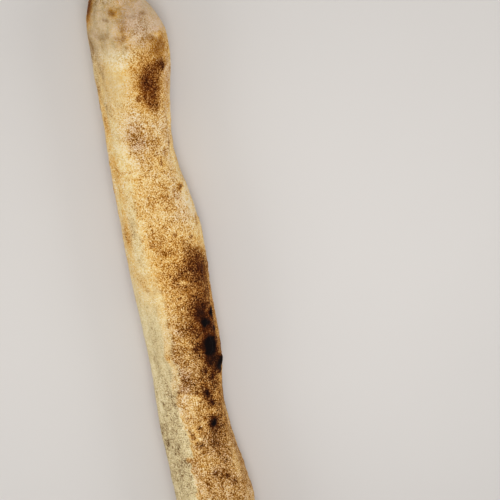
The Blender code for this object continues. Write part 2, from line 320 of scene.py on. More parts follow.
# Thin streaks of lighter or darker skin along creases and fold rims, and streaks of painted shade
# in creases and painted highlights on rims
TOAST_STREAKS = {
    # Painted shade in the fold's crease, and a painted highlight along its lip
    "fold shade": (((-10.6, -31), (-10.8, -22), (-11.1, -14), (-11.8, 2), (-12.3, 13)), 0.6, 0.72),
    "fold lip highlight": (((-12, -29), (-12.2, -14), (-13.2, 2), (-14.2, 9)), 0.8, 0.3),
    # Painted shade under the low curl, and painted highlights along its two rims
    "curl shade": (((-25.2, -19), (-26.9, -14), (-28.4, -13.5)), 0.6, 0.68),
    "curl highlight": (((-24.7, -14), (-26.3, -10.5), (-28, -9.5)), 0.5, 0.2),
    "lower curl highlight": (((-30, -16), (-29.5, -12), (-29.9, -6)), 0.5, 0.22),
    # A painted highlight along a crease, with painted shade below it
    "crease highlight": (((32.4, 12), (31.9, 18), (31.4, 25)), 0.5, 0.4),
    "shade below it": (((31, 12), (30.3, 20)), 0.7, 0.64),
    "gold rim": (
        ((24, 55), (19.5, 62), (16, 65), (12.5, 66), (8.5, 64), (5, 69), (1, 68)), 1.1, 0.73
    ),
    "dark rim": (((30, 46), (26.5, 50)), 0.6, 0.88),
    "tip crease": (((128.7, 17), (127.9, 31), (128, 47)), 0.5, 0.48),
    "first scribble": (((126.9, 5), (126.6, 12)), 0.5, 0.5),
    "second scribble": (((125.4, 2), (124.6, 7), (125.1, 11), (124.6, 15)), 0.5, 0.53),
    "third scribble": (((123.9, 4), (123.3, 10), (123.8, 14)), 0.5, 0.53),
    "fourth scribble": (((121.4, -5), (121, 4), (122, 9)), 0.8, 0.53),
    "left tip shade": (((123, -50), (122.7, -36), (122.6, -22)), 1, 0.49),
    "tip border": (((122.5, -73), (118, -67)), 0.9, 0.62),
    # A painted highlight along the top rim of the shoulder
    "shoulder highlight": (((119.9, 50), (119.4, 66)), 0.5, 0.34),
    "upper crease": (((74, -44), (74.5, -20), (74.2, -2)), 0.5, 0.36),
    "lower crease": (((71.2, -44), (71.4, -22)), 0.5, 0.26),
}

# Skin burnt black, mostly on the bubbles. The higher the level, the wider its black middle
BLACK_PATCHES = {
    "side core": (34.8, 51, 2.4, 1.5, 0.3),
    "dark zone": (19, 36, 3.2, 2.2, 0.6),
    "upper oval": (16.9, 60, 1.5, 1.7, 1.3),
    "lower oval": (10.5, 58, 0.9, 0.8, 1.2),
    "black core": (14.8, 39, 1.4, 1.1, 1.4),
    "second core": (13.9, 48, 1.3, 0.8, 0.8),
    "black bubble": (5, 43.5, 3.6, 2.3, 1.8),
    "bubble foot": (-1, 47, 2.6, 3, 0.6),
    "edge bubble": (-4.5, 63, 2.6, 2.2, 1),
    "round spot": (5.8, 18, 0.9, 0.8, 0.45),
    "dot 1": (-4, 30, 1.2, 1, 0.42),
    "dot 2": (-6.8, 41, 1.1, 0.9, 0.45),
    "dot 3": (-4.3, 47, 1.1, 0.9, 0.45),
    "dot 4": (-12.6, 24, 1.3, 1.1, 0.62),
    "dot 5": (-17.3, 32, 1.2, 1, 0.58),
    "dot 6": (-24.9, 25, 2, 1.6, 0.58),
    "last dot": (-50, 40, 1.2, 1, 0.2),
}

# How warm the brown is: 1 is ochre and orange, -1 a rosy grey
WARMTH_BANDS = {
    "browned face": ((-150, 112), (-15, 66), 10, 15, 0.1),
    "upper ivory": ((44, 108), (-60, -18), 12, 12, 0.25),
    "pale side fringe": ((40, 124), (-70, -53), 10, 9, 0.65),
    "lower middle": ((-30, 22), (-18, 22), 14, 12, -0.1),
    "toasted flank": ((-150, 120), (100, 150), 12, 12, 0.3),
    "underside": ((-132, 130), (150, 210), 8, 14, 0.1),
    "pale flank": ((-150, 40), (-150, -98), 12, 14, 0.2),
    "creamy tip": ((113, 136), (-112, 88), 9, 24, -0.6),
}

WARMTH_PATCHES = {
    "tip spot": (130.3, -1, 2.4, 2.6, 0.4),
    "shoulder": (116, 56, 6, 5.4, 1),
    "below shoulder": (111, 36, 5, 4.4, 0),
    "tip right": (125, 38, 4.4, 5, -0.8),
    "char": (103, 30, 9, 5, 1.3),
    "right of char": (103, 66, 10, 2.6, -0.35),
    "bend": (66, -8, 7, 7, 0.5),
    "tip highlight": (126, 52, 6, 7, -1.3),
    "tip left": (128, -44, 5, 6, -1.1),
    "tip corner": (131, -68, 6, 4.6, 1),
    "scribble": (121.5, 6, 3, 3, -0.3),
    "purple brown": (87, -8, 6, 6, -0.5),
    "face at purple brown": (84, 20, 9, 8, -0.1),
    "swell": (54, 60, 12, 5, -0.35),
    "brown dot": (64.9, 59, 1.6, 1.8, 1),
    "small spot": (75.3, 27, 1.8, 1.6, 0.9),
    "purple spot": (32.5, 19, 3.6, 3, -0.8),
    "gold zone": (38, 4, 12, 8, 0.95),
    "beside side patch": (44, 48, 7, 6, 0.55),
    "dark side": (35, 50, 6, 5, 1.3),
    "gold beside streak": (27, 44, 4, 3, 1.2),
    "char halo": (12, 42, 16, 8, 1.1),
    "gold rim": (11, 66, 13, 3, 1.2),
    "above fold": (-6, -6, 5, 6, -0.35),
    "lower side": (-20, 40, 16, 9, 0.9),
    "lower face": (-38, 8, 14, 10, 0.15),
    "by low curl": (-30, 3, 4, 3.6, 0.4),
    "edge dot": (4.1, -27, 1.2, 1, 0.5),
    "low edge dot": (-37.4, -30, 1.4, 1, 0.6),
    "pale stain": (33, -46, 4, 3, 0.6),
}

# How strongly the browning is broken up into speckles
PLAIN_SPECKLE = 0.8
SPECKLE_BANDS = {
    "browned face": ((-150, 118), (-20, 90), 8, 16, 1),
    "pale flank": ((-150, 130), (-150, -88), 12, 20, 0.6),
    "ivory side": ((-150, 38), (-90, -26), 12, 9, 0.56),
    "low ivory": ((-62, -4), (-90, -26), 14, 9, 1.05),
    "lower face": ((-150, 10), (-25, 60), 14, 5, 1.15),
    "upper ivory": ((38, 120), (-60, -28), 12, 12, 0.7),
    "creamy tip": ((117, 134), (-112, 88), 6, 20, 0.14),
    "right rim": ((40, 98), (62, 96), 10, 10, 0.65),
}

SPECKLE_PATCHES = {
    "tip front": (121, 34, 5, 4.6, 0.62),
    "middle face": (64, 20, 22, 12, 1.12),
    "shoulder": (115.5, 56, 5, 4.4, 0.3),
    "right of char": (100, 66, 9, 2.4, 0.45),
    "pale front": (107, -24, 7, 6, 0.25),
    "char core": (102.5, 28, 6.5, 4.5, 0.6),
    "dark side": (35, 51, 5, 3.6, 0.78),
    "black bubble": (8, 41, 8, 2.8, 0.5),
}

# Dough that stayed pale and floury, cooler than the golden skin
FLOUR_BANDS = {
    "pale side": ((-150, 28), (-200, -27), 50, 8, 1),
    "out of sight below": ((-160, -72), (-180, 180), 24, 10, 0.4),
    "out of sight behind": ((-160, 160), (-270, -100), 20, 56, 0.12),
    "butt": ((-160, -122), (-180, 180), 18, 10, 0),
    "cool middle": ((30, 104), (-50, -30), 20, 20, 0.2),
    "tip": ((113, 136), (-112, 14), 8, 24, 0.52),
    "tip right": ((113, 136), (14, 88), 8, 16, 0.3),
    "cream beside skin": ((-12, 34), (-37, -20), 10, 8, 0.4),
}

FLOUR_PATCHES = {
    "left of tip": (110, -64, 7, 6, 0.5),
    "pale front": (104, -27, 9, 4.6, 0.4),
    "left smudge": (103, -48, 8, 4, 0.45),
    "tip corner": (131, -70, 5, 4, 0),
    "tip spot": (130.4, -1, 2.6, 2.4, 0.25),
    "shoulder": (115, 57, 5, 5, 0),
    "scribbles": (122.8, 7, 3.5, 2.6, 0.25),
    "cool streak": (92, -46, 14, 1.8, 0.45),
    "cool streak below": (50, -40, 14, 2.4, 0.55),
    "edge dot": (4.1, -27, 1.2, 1, 0.1),
    "low edge dot": (-37.4, -30, 1.4, 1, 0.1),
}

# Fine ridges and creases of the skin: the path, half width and height
RIDGES = {
    "ledge": (((-7, -31), (-11, -32), (-15, -31), (-19, -27)), 0.8, -0.45),
    "fold": (((-12, -30), (-12.4, -14), (-13.2, 2), (-14, 12)), 0.8, 0.3),
    "fold crease": (((-10.6, -31), (-11.1, -14), (-11.8, 2), (-12.3, 13)), 0.6, -0.35),
    "low curl": (((-25, -18), (-27, -13), (-30, -12), (-32, -16)), 0.8, 0.5),
    "inner curl": (((-28, -21), (-31, -19), (-34, -21)), 0.7, 0.4),
    "tip fold": (((118.6, -8), (121.6, 14), (123, 34), (122, 52), (118.6, 66)), 1.2, 0.24),
    "tip fold crease": (((116.8, -6), (119.8, 14), (121, 34), (120, 52), (117, 66)), 1, -0.22),
    "middle curl": (((76.5, 28), (78.6, 33), (79.4, 42), (78, 50)), 0.7, 0.35),
    "upper fold": (((96, 58), (88, 63), (80, 62), (72, 66)), 0.9, -0.35),
    "pale crease": (((30, -52), (12, -58), (-8, -55), (-26, -60)), 0.9, -0.3),
}

# How high the browned skin stands at its edge, over what width it rises and sinks back, and where
# along the stick it begins and ends, each with its fade
STEP_HEIGHT = 0.35
STEP_RISE = 1.4
STEP_FALL = 7.0
STEP_BEGIN, STEP_BEGIN_FADE = -128.0, 12.0
STEP_END, STEP_END_FADE = 24.0, 16.0

# How the pattern wanders over the skin: the size of a bend, a seed, and how far it is shifted along
# the stick in millimetres and round it in degrees
CLOSE_WANDER = (2.6, 7.7, 0.5, 2.5)
BROAD_WANDER = (9.0, 3.1, 0.6, 3.0)
UNSEEN_WANDER = (17.0, 9.4, 5.0, 26.0)
BLACK_WANDER = (1.4, 4.9, 0.35, 2.2)
RIDGE_WANDER = (3.0, 5.3, 0.4, 2.0)

# The noise's seed, which Blender otherwise takes from the clock
NOISE_SEED = 4

# How brown a bubble is, how much browner skin is for each millimetre that it stands proud, and the
# most that hollows lose and bumps gain
BUBBLE_TOAST = 0.92
PROUD_TOAST = 0.35
PROUD_TOAST_LIMITS = (-0.07, 0.09)

# Sizes of the features of the skin's relief, and the height of burnt skin
WRINKLE_SIZE = 5.0 * MM
BUBBLE_SIZE = 1.9 * MM
GRAIN_SIZE = 0.9 * MM
BURNT_SIZE = 1.5 * MM
BURNT_HEIGHT = 0.35 * MM

# The weights of a vertex group are rounded to this many steps
WEIGHT_STEPS = 60

# Blotches scattered over what lies out of sight: how many, from and to along the stick and round
# it, smallest and largest half width, and lowest and highest level
SCATTER_SEED = 11
TOAST_SCATTER = (
    (9, (-128, -64), (-20, 74), (3, 6), (0.32, 0.46)),
    (12, (-122, 118), (88, 150), (3, 6.5), (0.28, 0.42)),
    (12, (-122, 112), (-146, -86), (3, 6.5), (0.16, 0.30)),
    (18, (-130, 118), (98, 152), (2, 5), (0.55, 0.85)),
    (16, (-130, 118), (-150, -100), (1.8, 4.5), (0.45, 0.75)),
    (18, (-126, 122), (152, 208), (2, 5.5), (0.55, 0.85)),
    (10, (-138, -68), (-16, 80), (2.5, 5.5), (0.50, 0.80)),
)
BLACK_SCATTER = (
    (6, (-120, 110), (100, 146), (1, 2.2), (0.5, 0.9)),
    (4, (-120, 110), (-146, -104), (0.8, 1.8), (0.4, 0.8)),
    (7, (-122, 118), (152, 208), (0.8, 2), (0.4, 0.8)),
    (4, (-132, -70), (-10, 66), (1, 2.2), (0.5, 0.9)),
)

# Colours of the crust at these levels, for plain, ochre and rosy skin and for floury dough
RAMP_LEVELS = (0.00, 0.14, 0.34, 0.48, 0.60, 0.72, 0.84, 0.94, 1.00)
CRUST_RAMP = (
    (235, 213, 163), (227, 199, 139), (217, 176, 110), (192, 147, 80), (162, 115, 54),
    (134, 87, 33), (103, 57, 11), (75, 33, 4), (46, 20, 5),
)
OCHRE_RAMP = (
    (230, 212, 152), (226, 198, 126), (224, 176, 98), (203, 149, 72), (172, 117, 48),
    (140, 86, 28), (105, 52, 7), (76, 30, 2), (46, 18, 2),
)
ROSY_RAMP = (
    (228, 213, 184), (222, 201, 168), (208, 178, 151), (184, 150, 121), (156, 117, 84),
    (130, 88, 54), (98, 56, 27), (70, 35, 13), (44, 22, 11),
)
FLOUR_RAMP = (
    (226, 210, 168), (216, 198, 152), (202, 181, 135), (177, 155, 113), (150, 125, 86),
    (122, 95, 60), (92, 66, 38), (66, 43, 22), (42, 28, 16),
)


def linear(level):
    """Linear light for a screen value from 0 to 255."""
    share = level / 255.0
    return share / 12.92 if share <= 0.04045 else ((share + 0.055) / 1.055) ** 2.4


def screen_colour(red, green, blue):
    return linear(red), linear(green), linear(blue), 1.0


class BreadStickCrust(bpy.types.PropertyGroup):
    surface_step: bpy.props.FloatProperty(
        name="Surface step",
        description="Spacing of the points on the finished crust",
        default=0.56 * MM,
        precision=5,
        unit="LENGTH",
    )
    wrinkle_height: bpy.props.FloatProperty(
        name="Wrinkle height",
        description="Height of the soft wrinkles of the skin",
        default=0.55 * MM,
        precision=5,
        unit="LENGTH",
    )
    bubble_height: bpy.props.FloatProperty(
        name="Small bubble height",
        description="Height of the small bubbles on the browned skin",
        default=0.42 * MM,
        precision=5,
        unit="LENGTH",
    )
    grain_height: bpy.props.FloatProperty(
        name="Grain height",
        description="Height of the rough grain of the crust",
        default=0.20 * MM,
        precision=5,
        unit="LENGTH",
    )
    roughness: bpy.props.FloatProperty(
        name="Roughness",
        description="How matt the baked crust is",
        default=0.68,
        min=0.0,
        max=1.0,
        subtype="FACTOR",
    )
    burnt_colour: bpy.props.FloatVectorProperty(
        name="Burnt colour",
        description="Colour of the skin that is burnt black",
        default=screen_colour(11, 5, 5),
        size=4,
        min=0.0,
        max=1.0,
        subtype="COLOR",
    )


class BreadStickStage(bpy.types.PropertyGroup):
    floor_colour: bpy.props.FloatVectorProperty(
        name="Floor colour",
        description="Colour of the plain floor",
        default=screen_colour(205, 201, 197),
        size=4,
        min=0.0,
        max=1.0,
        subtype="COLOR",
    )
    key_power: bpy.props.FloatProperty(
        name="Key light power",
        description="Power of the wide soft spotlight over the stick",
        default=9.2,
        unit="POWER",
    )
    side_power: bpy.props.FloatProperty(
        name="Side light power",
        description="Power of the softbox on each side of the stick",
        default=0.75,
        unit="POWER",
    )
    sky_strength: bpy.props.FloatProperty(
        name="Sky strength",
        description="Brightness of the light from all round",
        default=0.49,
        min=0.0,
    )


def turn_between(turn, other):
    """Signed turn between angles round the stick, in degrees from -180 to 180."""
    return (turn - other + 180.0) % 360.0 - 180.0


def smooth_step(value):
    value = np.clip(value, 0.0, 1.0)
    return value * value * (3.0 - 2.0 * value)


def rising(value, start, span):
    """0 up to the start, 1 from the end of the span on, smooth between."""
    return smooth_step((value - start) / span)


def wandering(points, size, seed):
    """Three smooth noises at each point, from about -1 to 1, with features of that size."""
    offset = Vector((seed, 2.0 * seed, -seed))
    return np.array([noise.noise_vector(Vector(point) / size + offset) for point in points])


def wandered(points, place, turn, wander, share=1.0):
    """Places and angles shifted to and fro by a wander, or by a share of it."""
    size, seed, along, around = wander
    shift = wandering(points, size, seed)
    return place + along * share * shift[:, 0], turn + around * share * shift[:, 1]


def patch_share(place, turn, middle, middle_turn, half_length, half_width):
    """1 in the middle of a patch, about a half at its rim, and falling softly to 0 outside it."""
    along = (place - middle) / half_length
    around = np.radians(turn_between(turn, middle_turn)) * SKIN_RADIUS / half_width
    return np.exp(-PATCH_FALL * (along**2 + around**2) ** PATCH_STEEPNESS)


def skin_edge(place):
    """The angle at which the browned skin begins, at each place along the stick."""
    return np.interp(place, *zip(*SKIN_EDGE))


def straightened(place, turn):
    """The angles bent so that the wandering edge of the browned skin runs straight."""
    near = np.exp(-(((turn - PLAIN_EDGE) / BEND_REACH) ** 2))
    return turn - (skin_edge(place) - PLAIN_EDGE) * near


def ragged(points, place, turn):
    """Angles shifted to and fro beside the edge of the browned skin, which frays it."""
    near = np.exp(-(((turn - skin_edge(place)) / FRAY_REACH) ** 2))
    coarse = 2.6 * wandering(points, size=4.5, seed=2.3)[:, 0]
    fine = 3.2 * wandering(points, size=1.7, seed=6.1)[:, 1]
    return turn + (coarse + fine) * near


def distance_to_path(place, turn, path):
    """How far each point lies from a path over the skin, in millimetres."""
    nearest = np.full(len(place), np.inf)
    for (start, start_turn), (stop, stop_turn) in zip(path, path[1:]):
        scale = math.radians(1.0) * SKIN_RADIUS
        step = np.array([stop - start, (stop_turn - start_turn) * scale])
        away = np.stack([place - start, turn_between(turn, start_turn) * scale], axis=1)
        share = np.clip(away @ step / (step @ step), 0.0, 1.0)
        nearest = np.minimum(nearest, np.linalg.norm(away - share[:, None] * step, axis=1))
    return nearest


def band_share(place, turn, span, turns, soft_along, soft_round):
    """1 inside a band, falling softly to 0 beyond its edges."""
    along = smooth_step(0.5 + (place - span[0]) / soft_along)
    along *= smooth_step(0.5 + (span[1] - place) / soft_along)
    if turns[1] - turns[0] >= 360:
        return along
    inside = (turns[1] - turns[0]) / 2 - np.abs(turn_between(turn, sum(turns) / 2))
    return along * smooth_step(0.5 + inside / soft_round)


def painted(place, turn, level, bands, patches, streaks=()):
    """A layer over the whole crust: a level, which bands, patches and streaks replace in order."""
    layer = np.full(len(place), level)
    bent = straightened(place, turn)
    for *shape, band_level in bands.values():
        layer += (band_level - layer) * band_share(place, bent, *shape)
    for *shape, patch_level in patches.values():
        layer += (patch_level - layer) * patch_share(place, turn, *shape)
    for path, half_width, streak_level in streaks:
        away = distance_to_path(place, turn, path) / half_width
        layer += (streak_level - layer) * np.exp(-(away**2))
    return layer


def scattered(kinds, seed):
    """Patches scattered by a seeded rule over the stretches that are out of sight."""
    draw = random.Random(seed)
    patches = {}
    for number, (count, along, turn, widths, levels) in enumerate(kinds):
        for copy in range(count):
            width = draw.uniform(*widths)
            patches[f"{number}.{copy}"] = (
                draw.uniform(*along),
                draw.uniform(*turn),
                width * draw.uniform(1.0, 1.7),
                width,
                draw.uniform(*levels),
            )
    return patches


def only(piece):
    """Leave nothing selected but this piece, and make it active."""
    bpy.ops.object.select_all(action="DESELECT")
    piece.select_set(True)
    bpy.context.view_layer.objects.active = piece


def apply_modifier(piece, kind, **values):
    only(piece)
    modifier = piece.modifiers.new(kind.lower(), kind)
    for name, value in values.items():
        setattr(modifier, name, value)
    bpy.ops.object.modifier_apply(modifier=modifier.name)


def copy_of_cad_node(name):
    """A copy of the solid with a mesh of its own, its loose triangles merged."""
    only(frame["nodes"][CAD_NODE])
    bpy.ops.object.duplicate(linked=False)
    piece = bpy.context.view_layer.objects.active
    piece.name = name
    piece.data.name = name
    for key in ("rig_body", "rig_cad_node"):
        del piece[key]
    piece.parent = None
    piece.matrix_world = Matrix.Identity(4)
    only(piece)
    bpy.ops.object.mode_set(mode="EDIT")
    bpy.ops.mesh.select_all(action="SELECT")
    bpy.ops.mesh.remove_doubles(threshold=0.01 * MM)
    bpy.ops.object.mode_set(mode="OBJECT")
    return piece


def vectors_of(piece, name):
    """One vector for each point: its place in metres, or its normal."""
    values = np.empty(len(piece.data.vertices) * 3)
    piece.data.vertices.foreach_get(name, values)
    return values.reshape(-1, 3)


def points_of(piece):
    """The piece's points, in millimetres."""
    return vectors_of(piece, "co") / MM


def set_points(piece, points):
    piece.data.vertices.foreach_set("co", (points * MM).ravel())
    piece.data.update()


def add_group(piece, name, weights):
    """A vertex group that holds one weight for each point."""
    group = piece.vertex_groups.new(name=name)
    steps = np.round(np.clip(weights, 0.0, 1.0) * WEIGHT_STEPS).astype(int)
    for step in range(1, WEIGHT_STEPS + 1):
        members = np.nonzero(steps == step)[0]
        if len(members):
            group.add(members.tolist(), step / WEIGHT_STEPS, "REPLACE")


def add_layer(piece, name, values):
    """A point attribute that the crust's material reads."""
    layer = piece.data.attributes.new(name, "FLOAT", "POINT")
    layer.data.foreach_set("value", np.clip(values, 0.0, 1.5).astype(np.float32))


def displace(piece, texture_name, kind, size, height, group, **values):
    """Raise and sink the skin by a procedural texture whose features have that size."""
    texture = bpy.data.textures.new(texture_name, kind)
    texture.noise_scale = size
    for name, value in values.items():
        setattr(texture, name, value)
    apply_modifier(
        piece,
        "DISPLACE",
        texture=texture,
        texture_coords="LOCAL",
        direction="NORMAL",
        strength=height,
        mid_level=0.5,
        vertex_group=group,
    )
    bpy.data.textures.remove(texture)


def proudness(piece, smoothing):
    """How far each point stands above a smoothed copy of the skin, in millimetres."""
    only(piece)
    bpy.ops.object.duplicate(linked=False)
    smoothed = bpy.context.view_layer.objects.active
    apply_modifier(smoothed, "SMOOTH", factor=0.9, iterations=smoothing)
    rise = ((points_of(piece) - points_of(smoothed)) * vectors_of(piece, "normal")).sum(axis=1)
    bpy.data.objects.remove(smoothed)
    return rise - np.median(rise)


def place_and_turn(points):
    """Place along the stick, and angle round it from the top towards the toasted side."""
    return points[:, 0], np.degrees(np.arctan2(-points[:, 1], points[:, 2] - AXIS_HEIGHT))


def relief(points):
    """Rise of the skin's fine ridges, creases and browned edge, in millimetres."""
    place, turn = wandered(points, *place_and_turn(points), RIDGE_WANDER)
    rise = np.zeros(len(points))
    for path, half_width, height in RIDGES.values():
        away = distance_to_path(place, turn, path) / half_width
        rise += height * np.exp(-(away**2))
    past = np.radians(turn - skin_edge(place)) * SKIN_RADIUS
    step = smooth_step(0.5 + past / STEP_RISE) * smooth_step(1.0 - past / STEP_FALL)
    step *= smooth_step((STEP_END - place) / STEP_END_FADE)
    step *= smooth_step((place - STEP_BEGIN) / STEP_BEGIN_FADE)
    return rise + STEP_HEIGHT * step


def crust_layers(points, bubbles):
    """The layers of browning over the crust, by name, from the named patches and bands."""
    place, turn = place_and_turn(points)
    unseen = rising(np.abs(turn), start=78.0, span=30.0)
    near = wandered(points, place, turn, CLOSE_WANDER)
    place, turn = wandered(points, *near, BROAD_WANDER)
    place, turn = wandered(points, place, turn, UNSEEN_WANDER, share=unseen)
    turn = ragged(points, place, turn)
    toast_patches = TOAST_PATCHES | scattered(TOAST_SCATTER, SCATTER_SEED)
    black_patches = BLACK_PATCHES | scattered(BLACK_SCATTER, SCATTER_SEED + 1)
    toast = painted(place, turn, PLAIN_TOAST, TOAST_BANDS, toast_patches, TOAST_STREAKS.values())
    black = painted(*wandered(points, *near, BLACK_WANDER), 0.0, {}, black_patches)
    toast += (1.0 - toast) * rising(black, start=0.0, span=0.60)
    # Burnt skin is less speckled, and the bubbles on the tip stay paler
    calm = 1.0 - 0.55 * rising(black, start=0.0, span=0.50)
    bubbles = bubbles * (1.0 - 0.55 * rising(place, start=122.0, span=8.0))
    return {
        "toast": toast + (BUBBLE_TOAST - toast) * 0.9 * bubbles,
        "black": black + 0.35 * bubbles,
        "warmth": 0.5 + 0.5 * painted(place, turn, 0.0, WARMTH_BANDS, WARMTH_PATCHES),
        "speckle": painted(place, turn, PLAIN_SPECKLE, SPECKLE_BANDS, SPECKLE_PATCHES) * calm,
        "flour": painted(place, turn, 0.0, FLOUR_BANDS, FLOUR_PATCHES),
    }


def model_crust(settings):
    """The solid remeshed finely and smoothed, with the wrinkles and bubbles of baked dough."""
    noise.seed_set(NOISE_SEED)
    crust = copy_of_cad_node("crust")
    apply_modifier(crust, "REMESH", mode="VOXEL", voxel_size=settings.surface_step, adaptivity=0.0)
    apply_modifier(crust, "SMOOTH", factor=0.5, iterations=8)
    points = points_of(crust)
    bubbles = rising(proudness(crust, smoothing=50), start=0.18, span=0.30)
    layers = crust_layers(points, bubbles)
    # The skin is left flat where the stick rests
    free = rising(points[:, 2], start=0.3, span=2.2)
    rise = relief(points) * free
    set_points(crust, points + vectors_of(crust, "normal") * rise[:, None])
    browned = rising(layers["toast"], start=0.22, span=0.25)
    charred = rising(layers["black"], start=0.3, span=0.5)
    add_group(crust, "skin", free)
    add_group(crust, "browned", free * (0.3 + 0.7 * browned) * (1.0 - 0.7 * charred))
    add_group(crust, "charred", free * charred)
    for name, size, height, group, depth in (
        ("wrinkles", WRINKLE_SIZE, settings.wrinkle_height, "skin", 2),
        ("small bubbles", BUBBLE_SIZE, settings.bubble_height, "browned", 1),
        ("grain", GRAIN_SIZE, settings.grain_height, "browned", 0),
    ):
        displace(crust, name, "CLOUDS", size, height, group, noise_depth=depth)
    displace(crust, "burnt skin", "VORONOI", BURNT_SIZE, BURNT_HEIGHT, "charred")
    points = points_of(crust)
    points[:, 2] = np.maximum(points[:, 2], 0.0)
    set_points(crust, points)
    lift = np.clip(PROUD_TOAST * proudness(crust, smoothing=20), *PROUD_TOAST_LIMITS)
    layers["toast"] += lift * (1.0 - bubbles)
    for name, values in layers.items():
        add_layer(crust, name, values)
    crust.vertex_groups.clear()
    only(crust)
    bpy.ops.object.shade_smooth()
    return crust


def add_node(tree, kind, **values):
    """A shader node with those settings."""
    node = tree.nodes.new(kind)
    for name, value in values.items():
        setattr(node, name, value)
    return node


def feed(tree, node, socket, source):
    """Link an output, or set a plain value, to an input."""
    if isinstance(source, bpy.types.NodeSocket):
        tree.links.new(source, node.inputs[socket])
    else:
        node.inputs[socket].default_value = source


def maths(tree, operation, *sources, clamp=False):
    node = add_node(tree, "ShaderNodeMath", operation=operation, use_clamp=clamp)
    for socket, source in enumerate(sources):
        feed(tree, node, socket, source)
    return node.outputs["Value"]


def weighted_sum(tree, terms):
    """The sum of sources, each times its own weight."""
    total = 0.0
    for source, weight in terms:
        node = add_node(tree, "ShaderNodeMath", operation="MULTIPLY_ADD")
        feed(tree, node, 0, source)
        feed(tree, node, 1, weight)
        feed(tree, node, 2, total)
        total = node.outputs["Value"]
    return total


def ramp_between(tree, source, low, high):
    """0 below the low value, 1 above the high one, smooth between."""
    node = add_node(tree, "ShaderNodeMapRange", interpolation_type="SMOOTHSTEP")
    feed(tree, node, "Value", source)
    feed(tree, node, "From Min", low)
    feed(tree, node, "From Max", high)
    return node.outputs["Result"]


def layer_value(tree, name):
    node = add_node(tree, "ShaderNodeAttribute", attribute_type="GEOMETRY", attribute_name=name)
    return node.outputs["Fac"]


def noise_value(tree, place, per_mm, detail, roughness=0.6):
    """Noise around 0, with that many features a millimetre."""
    node = add_node(tree, "ShaderNodeTexNoise")
    feed(tree, node, "Vector", place)
    feed(tree, node, "Scale", per_mm)
    feed(tree, node, "Detail", detail)
    feed(tree, node, "Roughness", roughness)
    return maths(tree, "SUBTRACT", node.outputs["Fac"], 0.5)


def millimetres(tree, stretch=(1.0, 1.0, 1.0)):
    """Object coordinates in millimetres, drawn out along an axis by a factor."""
    source = add_node(tree, "ShaderNodeTexCoord")
    mapping = add_node(tree, "ShaderNodeMapping")
    feed(tree, mapping, "Vector", source.outputs["Object"])
    feed(tree, mapping, "Scale", tuple(1.0 / MM / factor for factor in stretch))
    return mapping.outputs["Vector"]


def colour_ramp(tree, source, colours):
    node = add_node(tree, "ShaderNodeValToRGB")
    ramp = node.color_ramp
    while len(ramp.elements) < len(colours):
        ramp.elements.new(0.5)
    for element, level, colour in zip(ramp.elements, RAMP_LEVELS, colours):
        element.position = level
        element.color = screen_colour(*colour)
    feed(tree, node, "Fac", source)
    return node.outputs["Color"]


def mixed(tree, share, first, second):
    node = add_node(tree, "ShaderNodeMix", data_type="RGBA")
    feed(tree, node, 0, share)
    feed(tree, node, 6, first)
    feed(tree, node, 7, second)
    return node.outputs[2]


def dots(tree, place, per_mm, largest):
    """Round specks of random size, one in each cell: 1 in the middle of a speck, 0 outside it."""
    cells = add_node(tree, "ShaderNodeTexVoronoi", feature="F1")
    feed(tree, cells, "Vector", place)
    feed(tree, cells, "Scale", per_mm)
    split = add_node(tree, "ShaderNodeSeparateColor")
    feed(tree, split, "Color", cells.outputs["Color"])
    size = maths(tree, "POWER", split.outputs["Red"], 4.0)
    reach = maths(tree, "MULTIPLY_ADD", size, largest, 0.02)
    share = maths(tree, "DIVIDE", cells.outputs["Distance"], reach)
    return maths(tree, "SUBTRACT", 1.0, ramp_between(tree, share, 0.35, 1.0))


